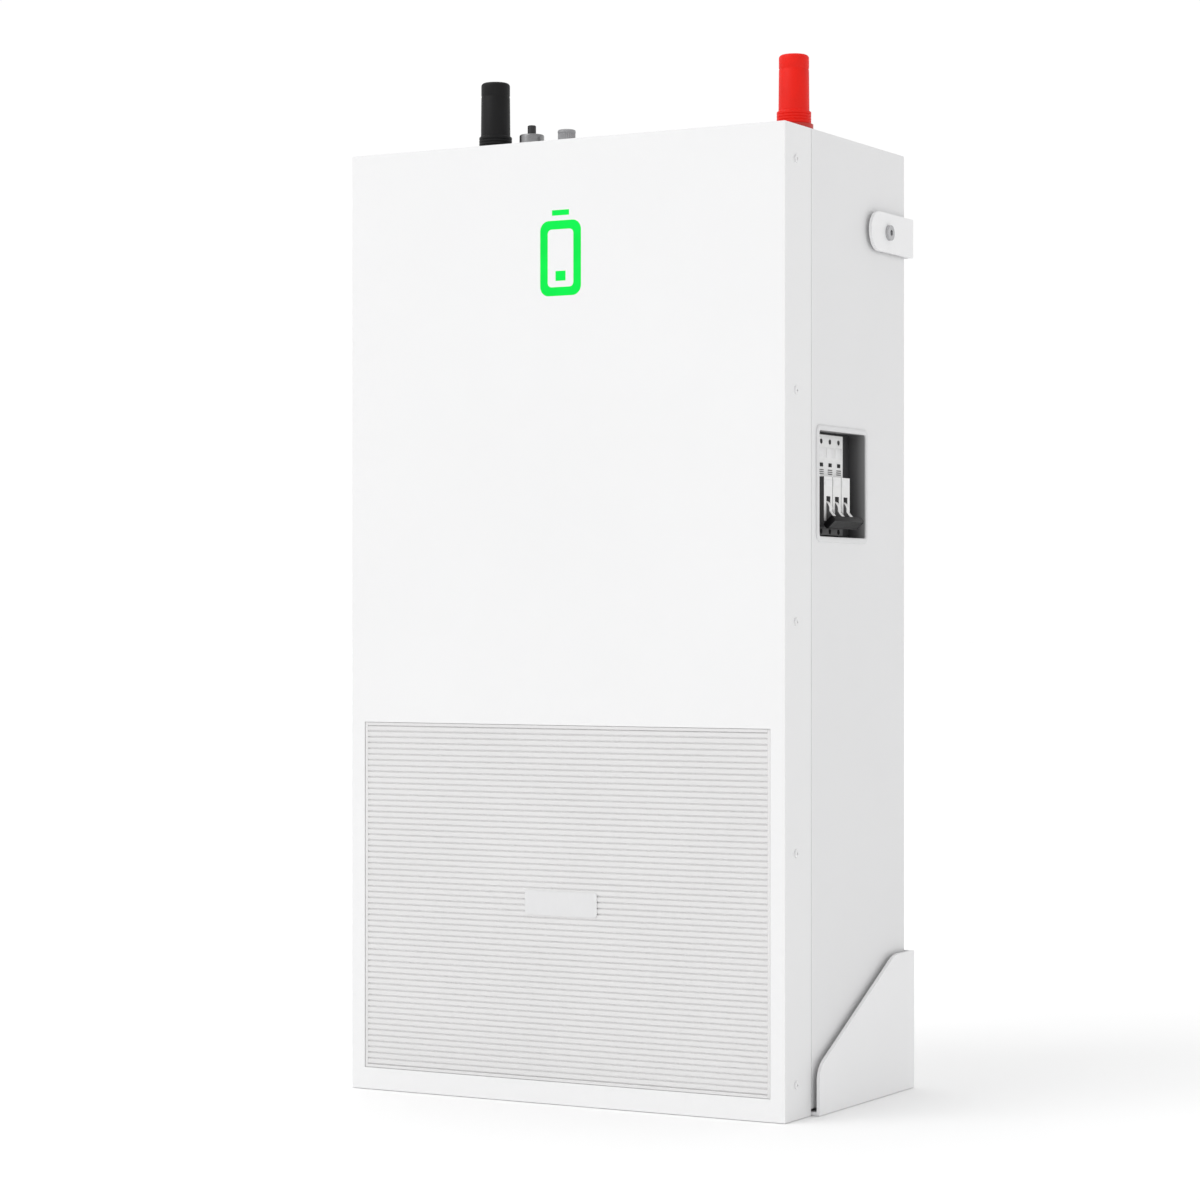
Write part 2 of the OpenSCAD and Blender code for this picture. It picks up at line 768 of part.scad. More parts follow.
// Closed coil of round wire under the push button
module button_spring() {
    turns = 5;
    steps = 12;
    ring = 8;
    wire = 0.5;
    coil = plunger_r - 1;
    z0 = case_h - 4 + wire + 0.05;
    rise = 14 - 2 * wire - 0.1;
    count = turns * steps;
    points = [for (i = [0:count], j = [0:ring - 1])
        let (a = 360 * i / steps, b = 360 * j / ring, r = coil + wire * cos(b))
            [button_x + r * cos(a), terminal_y + r * sin(a), z0 + rise * i / count + wire * sin(b)]];
    sides = [for (i = [0:count - 1], j = [0:ring - 1])
        let (k = (j + 1) % ring)
            [i * ring + j, i * ring + k, (i + 1) * ring + k, (i + 1) * ring + j]];
    first = [for (j = [ring - 1:-1:0]) j];
    last = [for (j = [0:ring - 1]) count * ring + j];
    color("silver") polyhedron(points = points, faces = concat(sides, [first], [last]));
}

module earth_stud() {
    z = gusset_h + 42;
    color("gold") union() {
        rod_x(-x_side - 2, -x_side, y_back - 45, z, 5);
        rod_x(-x_side - 9, -x_side - 2 + eps, y_back - 45, z, 3);
    }
}

// ---- Cell stack ----

function column_x(c) = cell_x0 + c * (cell_w + cell_gap);
function row_z(i) = cell_z0 + i * cell_step;
function term_x(c, side) = column_x(c) + cell_w / 2 + side * term_off;

module cell(c, i) {
    mid_z = row_z(i) + cell_t / 2;
    union() {
        box(column_x(c), column_x(c) + cell_w, cell_y0, cell_y1, row_z(i), row_z(i) + cell_t);
        for (side = [-1, 1]) {
            rod_y(cell_y0 - term_h, cell_y0 + 1, term_x(c, side), mid_z, 10);
            rod_y(cell_y0 - term_h - bar_t - nut_h + 0.5, cell_y0 + 1, term_x(c, side), mid_z, 3);
        }
    }
}

module cells_left() {
    color("steelblue") for (i = [0:cell_rows - 1]) cell(0, i);
}

module cells_right() {
    color("steelblue") for (i = [0:cell_rows - 1]) cell(1, i);
}

module cell_spacers() {
    color("ivory") for (c = [0, 1], i = [1:cell_rows - 1])
        box(column_x(c) + 4, column_x(c) + cell_w - 4, cell_y0 + 4, cell_y1 - 4,
            row_z(i) - cell_gap, row_z(i));
}

module end_plate_top() {
    color("silver") box(cell_x0, cell_x0 + stack_w, cell_y0 + 2, cell_y1, cell_top, cell_top + end_t);
}

module end_plate_bottom() {
    color("silver") box(cell_x0, cell_x0 + stack_w, cell_y0 + 2, cell_y1, cell_z0 - end_t, cell_z0);
}

// Steel bands that hold the end plates together, two on each side of the stack
module stack_straps() {
    t = 1.5;
    color("gray") for (y = [cell_y0 + 40, cell_y1 - 40]) {
        for (left = [true, false]) {
            x0 = left ? cell_x0 - t : cell_x0 + stack_w - 25;
            x1 = left ? cell_x0 + 25 : cell_x0 + stack_w + t;
            sx = left ? cell_x0 - t : cell_x0 + stack_w;
            box(sx, sx + t, y - 10, y + 10, cell_z0 - end_t - t, cell_top + end_t + t);
            box(x0, x1, y - 10, y + 10, cell_top + end_t, cell_top + end_t + t);
            box(x0, x1, y - 10, y + 10, cell_z0 - end_t - t, cell_z0 - end_t);
        }
    }
}

module link_hole(x, z) {
    rod_y(cell_y0 - term_h - bar_t - 1, cell_y0 - term_h + 1, x, z, 3 + run_gap);
}

// Copper links that join all the cells in series
module busbars() {
    y0 = cell_y0 - term_h - bar_t;
    y1 = cell_y0 - term_h;
    color("peru") {
        for (c = [0, 1], i = [0:cell_rows - 2]) {
            side = ((i % 2 == 0) ? -1 : 1) * (c == 0 ? 1 : -1);
            x = term_x(c, side);
            difference() {
                box(x - 10, x + 10, y0, y1, row_z(i) + cell_t / 2 - 10, row_z(i + 1) + cell_t / 2 + 10);
                link_hole(x, row_z(i) + cell_t / 2);
                link_hole(x, row_z(i + 1) + cell_t / 2);
            }
        }
        difference() {
            box(term_x(0, 1) - 10, term_x(1, -1) + 10, y0, y1, row_z(0) + cell_t / 2 - 10,
                row_z(0) + cell_t / 2 + 10);
            link_hole(term_x(0, 1), row_z(0) + cell_t / 2);
            link_hole(term_x(1, -1), row_z(0) + cell_t / 2);
        }
    }
}

module busbar_nuts() {
    color("silver") for (c = [0, 1], i = [0:cell_rows - 1], side = [-1, 1])
        translate([term_x(c, side), cell_y0 - term_h - bar_t, row_z(i) + cell_t / 2])
            rotate([90, 0, 0]) difference() {
                cylinder(h = nut_h, r = 5.8, $fn = 6);
                translate([0, 0, -1]) cylinder(h = nut_h + 2, r = 3 + run_gap);
            }
}

module insulation_sheet() {
    color([0.85, 0.9, 0.95]) difference() {
        box(cell_x0 + 2, cell_x0 + stack_w - 2, nut_y - 2, nut_y - 1, cell_z0, cell_top);
        for (x = [stack_neg_x, stack_pos_x]) rod_y(nut_y - 3, nut_y, x, stack_end_z, cable_r + 2);
    }
}

module sense_board() {
    mid = cell_x0 + stack_w / 2;
    y1 = nut_y - 2;
    color("darkgreen") union() {
        box(mid - 45, mid + 45, y1 - 1.6, y1, cell_z0 + 30, row_z(cell_rows - 1) + 4);
        for (i = [0:cell_rows - 2])
            box(mid - 38, mid - 26, y1 - 6.6, y1 - 1.6 + eps, row_z(i) + 30, row_z(i) + 42);
    }
}

// ---- Electronics bay ----

module bms_plate() {
    color("silver") difference() {
        box(-190, 190, plate_y, plate_y + 2, bay_z, bay_z + bay_h);
        for (x = [-1, 1], z = [0, 1])
            rod_y(plate_y - 1, plate_y + 3, x * 170, bay_z + 15 + z * (bay_h - 30), 2.1);
    }
}

module plate_standoffs() {
    color("gold") for (x = [-1, 1], z = [0, 1]) union() {
        rod_y(plate_y + 2, y_back - sheet, x * 170, bay_z + 15 + z * (bay_h - 30), 5);
        rod_y(plate_y, y_back - 0.1, x * 170, bay_z + 15 + z * (bay_h - 30), 2);
    }
}

// Finned block that cools the power transistors
module bms_heatsink() {
    fins = 12;
    pitch = 12;
    color("silver") union() {
        box(-160, -160 + fins * pitch, plate_y - 10, plate_y, bay_z + 30, bay_z + bay_h - 30);
        for (i = [0:fins - 1])
            box(-160 + i * pitch + 4, -160 + i * pitch + 7, plate_y - 45, plate_y - 10 + eps,
                bay_z + 30, bay_z + bay_h - 30);
    }
}

module bms_board() {
    color("darkgreen") union() {
        box(0, 150, board_y, board_y + 1.6, bay_z + 25, bay_z + bay_h - 25);
        for (x = [8, 142], z = [33, bay_h - 33]) rod_y(board_y + 1.6 - eps, plate_y, x, bay_z + z, 3);
        box(60, 84, board_y - 4, board_y + eps, bay_z + 70, bay_z + 94);
        box(20, 60, board_y - 10, board_y + eps, bay_z + bay_h - 45, bay_z + bay_h - 35);
    }
}

module mosfets() {
    color([0.1, 0.1, 0.1]) for (i = [0:7])
        box(14 + i * 16, 24 + i * 16, board_y - 4.5, board_y, bay_z + 108, bay_z + 122);
}

module shunt() {
    color("peru") union() {
        box(-155, -95, plate_y - 6, plate_y, bay_z + 4, bay_z + 24);
        box(-150, -140, plate_y - 9, plate_y - 6 + eps, bay_z + 9, bay_z + 19);
        box(-110, -100, plate_y - 9, plate_y - 6 + eps, bay_z + 9, bay_z + 19);
    }
}

module main_fuse() {
    color("ivory") union() {
        rod_x(20, 80, plate_y - 20, bay_z + 10, 10);
        for (x = [8, 78]) box(x, x + 14, plate_y - 21.5, plate_y - 18.5, bay_z + 3, bay_z + 17);
        for (x = [9, 81]) box(x, x + 10, plate_y - 18.5, plate_y, bay_z + 4, bay_z + 16);
    }
}

// ---- Internal power cables, round runs with ball-shaped bends ----

module cable(path) {
    union() for (i = [0:len(path) - 2]) {
        v = path[i + 1] - path[i];
        l = norm(v);
        translate(path[i]) rotate([0, acos(v[2] / l), atan2(v[1], v[0])])
            cylinder(h = l, r = cable_r, $fn = 24);
        if (i > 0) translate(path[i]) sphere(r = cable_r, $fn = 24);
    }
}

module cell_cables() {
    y = nut_y - 12;
    up = cell_top + end_t + 14;
    shunt_x = -145;
    fuse_x = 13;
    color("orangered") {
        cable([[stack_neg_x, nut_y, stack_end_z], [stack_neg_x, y, stack_end_z], [stack_neg_x, y, up],
            [stack_neg_x, plate_y - 24, up], [shunt_x, plate_y - 24, up], [shunt_x, plate_y - 24, bay_z + 14],
            [shunt_x, plate_y - 9, bay_z + 14]]);
        cable([[stack_pos_x, nut_y, stack_end_z], [stack_pos_x, y, stack_end_z], [stack_pos_x, y, up],
            [stack_pos_x, plate_y - 20, up], [fuse_x, plate_y - 20, up], [fuse_x, plate_y - 20, bay_z + 3]]);
    }
}

module breaker_cables() {
    x = breaker_x0 + 30;
    high = breaker_z + breaker_h / 2;
    color("orangered")
        cable([[x, pole_y(2), high], [x, pole_y(2), high + 7], [x, plate_y - 20, high + 7],
            [x, plate_y - 20, bay_z + 10], [92, plate_y - 20, bay_z + 10]]);
}

module terminal_cables() {
    shunt_x = -105;
    color("orangered") {
        cable([[neg_x, terminal_y, stud_foot_z], [neg_x, terminal_y, bay_z + 14],
            [shunt_x, terminal_y, bay_z + 14], [shunt_x, plate_y - 9, bay_z + 14]]);
        cable([[pos_x, terminal_y, stud_foot_z], [pos_x, terminal_y, breaker_z + breaker_h / 2]]);
    }
}

front_cover();
cover_gasket();
grille_panel();
badge_plate();
light_symbol();
led_board();
cover_screws();
rivet_nuts();
back_panel();
side_panel_left();
side_panel_right();
top_panel();
bottom_panel();
upper_wall_rail();
lower_wall_bracket();
ear_bolts();
ear_spacers();
shelf_pads();
breaker_bezel();
breaker_case();
breaker_handle();
breaker_pin();
breaker_clamp_screws();
din_rail();
breaker_bracket();
negative_base();
positive_base();
negative_stud();
positive_stud();
stud_nuts();
base_nuts();
negative_boot();
positive_boot();
comm_socket();
comm_pins();
comm_cap();
button_housing();
power_button();
button_spring();
earth_stud();
cells_left();
cells_right();
cell_spacers();
end_plate_top();
end_plate_bottom();
stack_straps();
busbars();
busbar_nuts();
insulation_sheet();
sense_board();
bms_plate();
plate_standoffs();
bms_heatsink();
bms_board();
mosfets();
shunt();
main_fuse();
cell_cables();
breaker_cables();
terminal_cables();
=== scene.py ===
"""Looks of the wall battery unit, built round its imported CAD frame. Metres, +Z up, front faces -Y."""
import json
import math

import bmesh
import bpy
from mathutils import Matrix, Vector


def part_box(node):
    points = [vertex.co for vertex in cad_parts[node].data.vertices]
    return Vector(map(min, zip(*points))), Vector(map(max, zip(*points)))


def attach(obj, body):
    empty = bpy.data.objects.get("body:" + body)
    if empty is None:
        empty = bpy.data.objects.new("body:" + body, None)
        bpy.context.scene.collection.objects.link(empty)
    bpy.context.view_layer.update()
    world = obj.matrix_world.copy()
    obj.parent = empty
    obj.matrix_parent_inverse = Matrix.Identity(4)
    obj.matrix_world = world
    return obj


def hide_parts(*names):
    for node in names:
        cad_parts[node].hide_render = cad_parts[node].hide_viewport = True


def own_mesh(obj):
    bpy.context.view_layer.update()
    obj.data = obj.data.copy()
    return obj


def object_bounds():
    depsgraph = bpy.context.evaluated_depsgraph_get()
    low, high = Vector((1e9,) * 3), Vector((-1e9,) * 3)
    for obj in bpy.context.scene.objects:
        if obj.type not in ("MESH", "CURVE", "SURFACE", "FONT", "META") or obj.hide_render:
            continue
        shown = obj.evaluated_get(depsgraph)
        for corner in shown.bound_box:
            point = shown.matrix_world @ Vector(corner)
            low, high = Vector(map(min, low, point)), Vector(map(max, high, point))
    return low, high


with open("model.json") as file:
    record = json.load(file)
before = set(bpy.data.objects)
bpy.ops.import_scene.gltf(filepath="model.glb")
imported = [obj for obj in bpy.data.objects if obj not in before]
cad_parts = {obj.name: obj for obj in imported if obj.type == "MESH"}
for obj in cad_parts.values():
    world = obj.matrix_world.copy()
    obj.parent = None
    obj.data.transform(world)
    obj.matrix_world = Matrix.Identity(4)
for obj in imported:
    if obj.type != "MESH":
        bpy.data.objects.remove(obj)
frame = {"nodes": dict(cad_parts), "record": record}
CAD_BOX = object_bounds()
NODES = frame["nodes"]
SLOT_OF = {s["node"]: s["material_slot"] for s in frame["record"]["subparts"]}

MM = 0.001
FULL_TURN = 2 * math.pi
POLES = 3                         # of the breaker
NOISE_LOW, NOISE_HIGH = 0.3, 0.7  # most of a noise texture's values lie between these
GRAIN_BUMP = 0.35                 # strength of a plain surface's relief
MOULD_RELIEF = 0.00004            # depth of a moulding's grain


# ---- Node materials ---------------------------------------------------------------------------

def new_material(name):
    """A node material with one Principled shader; returns (material, nodes, links, shader)."""
    mat = bpy.data.materials.new(name)
    mat.use_nodes = True
    tree = mat.node_tree
    return mat, tree.nodes, tree.links, tree.nodes["Principled BSDF"]


def object_coords(nodes):
    return nodes.new("ShaderNodeTexCoord").outputs["Object"]


def noise(nodes, links, coords, scale, detail=3.0, rough=0.5):
    node = nodes.new("ShaderNodeTexNoise")
    node.inputs["Scale"].default_value = scale
    node.inputs["Detail"].default_value = detail
    node.inputs["Roughness"].default_value = rough
    links.new(coords, node.inputs["Vector"])
    return node.outputs["Fac"]


def component(nodes, links, vector, axis):
    """One axis of a vector output."""
    node = nodes.new("ShaderNodeSeparateXYZ")
    links.new(vector, node.inputs["Vector"])
    return node.outputs[axis]


def ramp(nodes, links, fac, stops):
    """A colour ramp over (position, colour) stops."""
    node = nodes.new("ShaderNodeValToRGB")
    while len(node.color_ramp.elements) < len(stops):
        node.color_ramp.elements.new(0.5)
    for element, (position, colour) in zip(node.color_ramp.elements, stops):
        element.position = position
        element.color = (*colour, 1)
    links.new(fac, node.inputs["Fac"])
    return node.outputs["Color"]


def map_range(nodes, links, value, start, end, low=0.0, high=1.0):
    """Maps start-end to low-high and holds both ends."""
    node = nodes.new("ShaderNodeMapRange")
    for socket, number in zip(("From Min", "From Max", "To Min", "To Max"), (start, end, low, high)):
        node.inputs[socket].default_value = number
    links.new(value, node.inputs["Value"])
    return node.outputs["Result"]


def spread(nodes, links, fac, low, high):
    """Maps a noise factor to low-high."""
    return map_range(nodes, links, fac, NOISE_LOW, NOISE_HIGH, low, high)


def bump(nodes, links, height, strength, distance, before=None):
    """Relief from a height, on top of an earlier relief where one is given."""
    node = nodes.new("ShaderNodeBump")
    node.inputs["Strength"].default_value = strength
    node.inputs["Distance"].default_value = distance
    links.new(height, node.inputs["Height"])
    if before is not None:
        links.new(before, node.inputs["Normal"])
    return node.outputs["Normal"]


def tinted(colour, factor):
    return tuple(min(1.0, max(0.0, c * factor)) for c in colour)


def drift(nodes, links, fac, colour, low, high):
    """A colour that wanders between low and high times itself with a noise factor."""
    return ramp(nodes, links, fac, [(NOISE_LOW, tinted(colour, low)), (NOISE_HIGH, tinted(colour, high))])


def surface(name, colour, rough, grain, relief, vary=0.03, patch=9.0, coat=0.0, shine=0.5):
    """A surface with slow colour drift, and a fine grain in its gloss and relief."""
    mat, nodes, links, shader = new_material(name)
    coords = object_coords(nodes)
    slow = noise(nodes, links, coords, patch, 4.0)
    fine = noise(nodes, links, coords, grain, 2.0)
    links.new(drift(nodes, links, slow, colour, 1 - vary, 1 + vary), shader.inputs["Base Color"])
    links.new(spread(nodes, links, fine, *rough), shader.inputs["Roughness"])
    links.new(bump(nodes, links, fine, GRAIN_BUMP, relief), shader.inputs["Normal"])
    shader.inputs["Coat Weight"].default_value = coat
    shader.inputs["Specular IOR Level"].default_value = shine
    return mat


def powder_coat(name, colour, grain=900.0):
    """Sprayed powder: orange peel under a finer stipple."""
    mat, nodes, links, shader = new_material(name)
    coords = object_coords(nodes)
    slow = noise(nodes, links, coords, 5.0, 3.0)
    peel = noise(nodes, links, coords, grain * 0.35, 2.0)
    stipple = noise(nodes, links, coords, grain, 3.0, 0.6)
    links.new(drift(nodes, links, slow, colour, 0.988, 1.006), shader.inputs["Base Color"])
    links.new(spread(nodes, links, stipple, 0.36, 0.5), shader.inputs["Roughness"])
    peel_relief = bump(nodes, links, peel, 0.25, 0.00008)
    links.new(bump(nodes, links, stipple, 0.25, 0.00005, peel_relief), shader.inputs["Normal"])
    shader.inputs["Specular IOR Level"].default_value = 0.4
    return mat


def brushed(name, colour, rough=(0.25, 0.42)):
    """Plated or machined metal with fine level lines."""
    mat, nodes, links, shader = new_material(name)
    mapping = nodes.new("ShaderNodeMapping")
    mapping.inputs["Scale"].default_value = (40, 40, 900)
    links.new(object_coords(nodes), mapping.inputs["Vector"])
    lines = noise(nodes, links, mapping.outputs["Vector"], 1.5, 5.0)
    slow = noise(nodes, links, object_coords(nodes), 60.0, 3.0)
    links.new(drift(nodes, links, slow, colour, 0.9, 1.08), shader.inputs["Base Color"])
    links.new(spread(nodes, links, lines, *rough), shader.inputs["Roughness"])
    links.new(bump(nodes, links, lines, 0.2, 0.00004), shader.inputs["Normal"])
    shader.inputs["Metallic"].default_value = 1.0
    return mat


def lit_diffuser(name, colour=(0.0, 0.93, 0.085), strength=1.0):
    """Light guide: an even glow that falls off a little between the lamps behind it."""
    mat, nodes, links, shader = new_material(name)
    uneven = noise(nodes, links, object_coords(nodes), 38.0, 1.0)
    links.new(drift(nodes, links, uneven, colour, 0.9, 1.0), shader.inputs["Emission Color"])
    shader.inputs["Base Color"].default_value = (0.0, 0.02, 0.0, 1)
    shader.inputs["Specular IOR Level"].default_value = 0.1
    shader.inputs["Emission Strength"].default_value = strength
    shader.inputs["Roughness"].default_value = 0.35
    return mat


def circuit_board(name):
    """Green solder mask with slightly lighter copper tracks showing through."""
    mat, nodes, links, shader = new_material(name)
    tracks = nodes.new("ShaderNodeTexBrick")
    tracks.inputs["Scale"].default_value = 90.0
    tracks.inputs["Color1"].default_value = (0.02, 0.16, 0.06, 1)
    tracks.inputs["Color2"].default_value = (0.02, 0.12, 0.05, 1)
    tracks.inputs["Mortar"].default_value = (0.05, 0.28, 0.10, 1)
    links.new(object_coords(nodes), tracks.inputs["Vector"])
    links.new(tracks.outputs["Color"], shader.inputs["Base Color"])
    links.new(bump(nodes, links, tracks.outputs["Fac"], 0.3, 0.00004), shader.inputs["Normal"])
    shader.inputs["Roughness"].default_value = 0.35
    return mat


def pocket_painted_shade(name):
    """Grey moulding, paler on its rim, with painted shade that darkens it with depth into the pocket."""
    mat, nodes, links, shader = new_material(name)
    coords = object_coords(nodes)
    floor_x, rim_x = (corner[0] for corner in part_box("breaker_bezel"))
    height = map_range(nodes, links, component(nodes, links, coords, "X"), floor_x, rim_x)
    # Painted shade: the grey falls to near black towards the pocket's floor, where shade would fall.
    stops = [(0.0, (0.04, 0.04, 0.042)), (0.5, (0.10, 0.10, 0.102)), (0.90, (0.22, 0.22, 0.222)),
             (0.94, (0.72, 0.72, 0.725))]
    links.new(ramp(nodes, links, height, stops), shader.inputs["Base Color"])
    fine = noise(nodes, links, coords, 1500.0, 2.0)
    links.new(spread(nodes, links, fine, 0.42, 0.55), shader.inputs["Roughness"])
    links.new(bump(nodes, links, fine, GRAIN_BUMP, MOULD_RELIEF), shader.inputs["Normal"])
    return mat


def breaker_moulding(name):
    """Pale moulding with painted shade: its cheeks, the faces that look along Y, are painted dark grey as
    the pocket's shade, and its lower part as the tie bar's painted shadow.
    """
    mat, nodes, links, shader = new_material(name)
    coords = object_coords(nodes)
    normal = nodes.new("ShaderNodeNewGeometry").outputs["True Normal"]
    sideways = nodes.new("ShaderNodeMath")
    sideways.operation = "ABSOLUTE"
    links.new(component(nodes, links, normal, "Y"), sideways.inputs[0])
    # Painted shade on the cheeks, the faces that look along Y, deep in the pocket.
    cheek_shade = ramp(nodes, links, sideways.outputs["Value"], [(0.55, (0, 0, 0)), (0.75, (1, 1, 1))])
    # Painted shadow of the tie bar: the breaker turns dark grey below this height.
    foot_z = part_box("breaker_case")[0][2]
    foot_high, foot_low = foot_z + 12.5 * MM, foot_z + 12.2 * MM
    foot = map_range(nodes, links, component(nodes, links, coords, "Z"), foot_high, foot_low)
    painted_shade = nodes.new("ShaderNodeMath")
    painted_shade.operation = "MAXIMUM"
    links.new(cheek_shade, painted_shade.inputs[0])
    links.new(foot, painted_shade.inputs[1])
    slow = noise(nodes, links, coords, 30.0, 3.0)
    face = ramp(nodes, links, slow, [(NOISE_LOW, (0.80, 0.80, 0.795)), (NOISE_HIGH, (0.83, 0.83, 0.825))])
    mix = nodes.new("ShaderNodeMix")
    mix.data_type = "RGBA"
    links.new(painted_shade.outputs["Value"], mix.inputs["Factor"])
    links.new(face, mix.inputs["A"])
    # Dark grey of the painted shade and shadow.
    mix.inputs["B"].default_value = (0.10, 0.10, 0.102, 1)
    links.new(mix.outputs["Result"], shader.inputs["Base Color"])
    fine = noise(nodes, links, coords, 1300.0, 2.0)
    links.new(spread(nodes, links, fine, 0.38, 0.5), shader.inputs["Roughness"])
    links.new(bump(nodes, links, fine, GRAIN_BUMP, MOULD_RELIEF), shader.inputs["Normal"])
    return mat


# Colour, then the grain's scale
COATS = {
    "cover_paint": ((0.825, 0.825, 0.828), 900.0),
    "case_paint": ((0.78, 0.78, 0.785), 900.0),
    "bracket_paint": ((0.86, 0.86, 0.865), 700.0),
}
# Colour, then the range of its roughness
METALS = {
    "zinc_steel": ((0.62, 0.62, 0.63), (0.25, 0.42)),
    "dark_bolt": ((0.50, 0.50, 0.51), (0.35, 0.5)),
    "brass": ((0.75, 0.56, 0.25), (0.25, 0.42)),
    "copper": ((0.80, 0.42, 0.26), (0.25, 0.42)),
    "button_metal": ((0.27, 0.27, 0.275), (0.25, 0.4)),
    "aluminium": ((0.78, 0.78, 0.79), (0.25, 0.42)),
}
# Colour, range of roughness, the grain's scale and depth, colour drift, then whatever else differs
SURFACES = {
    "gasket_rubber": ((0.030, 0.030, 0.032), (0.6, 0.8), 1200.0, 0.0001, 0.03, {}),
    "grille_plastic": ((0.72, 0.715, 0.715), (0.42, 0.55), 1500.0, 0.00003, 0.012, {}),
    "badge": ((0.71, 0.71, 0.715), (0.3, 0.4), 1400.0, 0.00002, 0.01, {}),
    "toggle_black": ((0.004, 0.004, 0.0045), (0.45, 0.6), 1500.0, 0.00003, 0.1, {"shine": 0.25}),
    "black_plastic": ((0.022, 0.022, 0.023), (0.4, 0.55), 1500.0, 0.00005, 0.08, {}),
    "red_plastic": ((0.50, 0.018, 0.008), (0.4, 0.52), 1500.0, 0.00005, 0.05, {}),
    "black_rubber": ((0.008, 0.008, 0.0085), (0.45, 0.6), 1100.0, 0.00006, 0.08,
                     {"patch": 40.0, "shine": 0.2}),
    "red_rubber": ((0.80, 0.010, 0.003), (0.42, 0.58), 1100.0, 0.00006, 0.05,
                   {"patch": 40.0, "shine": 0.22}),
    "button_cap": ((0.30, 0.30, 0.31), (0.3, 0.42), 1500.0, 0.00003, 0.04, {}),
    "cell_can": ((0.05, 0.16, 0.42), (0.25, 0.4), 500.0, 0.00005, 0.05, {}),
    "ivory_plastic": ((0.74, 0.70, 0.58), (0.45, 0.6), 1200.0, 0.00005, 0.03, {}),
    "clear_sheet": ((0.65, 0.70, 0.76), (0.15, 0.3), 300.0, 0.00003, 0.02, {"coat": 0.4}),
    "cable_jacket": ((0.80, 0.20, 0.02), (0.45, 0.6), 900.0, 0.00006, 0.04, {}),
}
SPECIAL = {
    "light_diffuser": lit_diffuser,
    "board": circuit_board,
    "bezel_plastic": pocket_painted_shade,
    "breaker_plastic": breaker_moulding,
}
MATERIALS = {slot: powder_coat(slot, *row) for slot, row in COATS.items()}
MATERIALS.update({slot: brushed(slot, *row) for slot, row in METALS.items()})
MATERIALS.update({slot: surface(slot, *row[:-1], **row[-1]) for slot, row in SURFACES.items()})
MATERIALS.update({slot: build(slot) for slot, build in SPECIAL.items()})


# ---- Mesh helpers -----------------------------------------------------------------------------

def corners(box):
    """Lowest and highest corner of a box, as vectors."""
    return tuple(Vector(v) for v in box)


def centre_xy(low, high):
    return (low.x + high.x) / 2, (low.y + high.y) / 2


def polar(radius, angle):
    return radius * math.cos(angle), radius * math.sin(angle)


def add_object(name, mesh):
    obj = bpy.data.objects.new(name, mesh)
    bpy.context.scene.collection.objects.link(obj)
    return obj


def add_piece(name, bm, slot, body, nodes=()):
    """Turns a bmesh into a piece of the object that rides on a body and stands for CAD nodes."""
    bmesh.ops.recalc_face_normals(bm, faces=bm.faces)
    mesh = bpy.data.meshes.new(name)
    bm.to_mesh(mesh)
    bm.free()
    obj = add_object(name, mesh)
    mesh.materials.append(MATERIALS[slot])
    for polygon in mesh.polygons:
        polygon.use_smooth = True
    mesh.set_sharp_from_angle(angle=math.radians(38))
    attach(obj, body)
    if nodes:
        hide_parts(*nodes)
    return obj


def bridge(bm, rings):
    """Joins each closed ring of vertices to the next."""
    for near, far in zip(rings, rings[1:]):
        for k in range(len(near)):
            m = (k + 1) % len(near)
            bm.faces.new([near[k], near[m], far[m], far[k]])


def cap_ends(bm, rings):
    bm.faces.new(list(reversed(rings[0])))
    bm.faces.new(rings[-1])


def lathe(profile, centre, segments=96):
    """Revolves (radius, height) points about a vertical axis through centre; radius 0 closes an end."""
    bm = bmesh.new()
    rings = []
    for r, z in profile:
        if r == 0:
            rings.append([bm.verts.new((*centre, z))])
            continue
        rings.append([bm.verts.new((centre[0] + dx, centre[1] + dy, z))
                      for dx, dy in (polar(r, FULL_TURN * i / segments) for i in range(segments))])
    for low, high in zip(rings, rings[1:]):
        for i in range(segments):
            j = (i + 1) % segments
            face = [low[0]] if len(low) == 1 else [low[i], low[j]]
            face += [high[0]] if len(high) == 1 else [high[j], high[i]]
            bm.faces.new(face)
    return bm


def rounded(corner_a, corner_b, radius, start, end, steps=6):
    """Points of an arc in a plane of two axes; angles in degrees, 0 along the first and 90 the second."""
    angles = (math.radians(start + (end - start) * k / steps) for k in range(steps + 1))
    return [(corner_a + da, corner_b + db) for da, db in (polar(radius, angle) for angle in angles)]


def eased_block(bm, low, high, ease):
    """Adds a box with eased edges to a bmesh."""
    made = bmesh.ops.create_cube(bm, size=1.0)["verts"]
    size = [h - l for l, h in zip(low, high)]
    middle = [(h + l) / 2 for l, h in zip(low, high)]
    for v in made:
        v.co = Vector([m + c * d for m, c, d in zip(middle, v.co, size)])
    ease_edges(bm, {e for v in made for e in v.link_edges}, ease, True)


def ease_edges(bm, edges, ease, clamp):
    bmesh.ops.bevel(bm, geom=list(edges), offset=ease, segments=2, profile=0.5, affect="EDGES",
                    clamp_overlap=clamp)


def soften(name, width):
    """Eases the edges of a carried-over CAD node, with its flat faces merged first."""
    obj = NODES[name]
    flat = obj.modifiers.new("flat", "DECIMATE")
    flat.decimate_type = "DISSOLVE"
    flat.angle_limit = math.radians(0.5)
    bevel = obj.modifiers.new("ease", "BEVEL")
    bevel.width = width
    bevel.segments = 2
    bevel.limit_method = "ANGLE"
    bevel.angle_limit = math.radians(35)
    bevel.use_clamp_overlap = False
    bevel.miter_outer = "MITER_ARC"
    bevel.harden_normals = True
    for polygon in obj.data.polygons:
        polygon.use_smooth = True


# ---- CAD nodes that keep their shape ------------------------------------------------------------

for name, obj in NODES.items():
    for holder in obj.material_slots:
        holder.material = MATERIALS[SLOT_OF[name]]

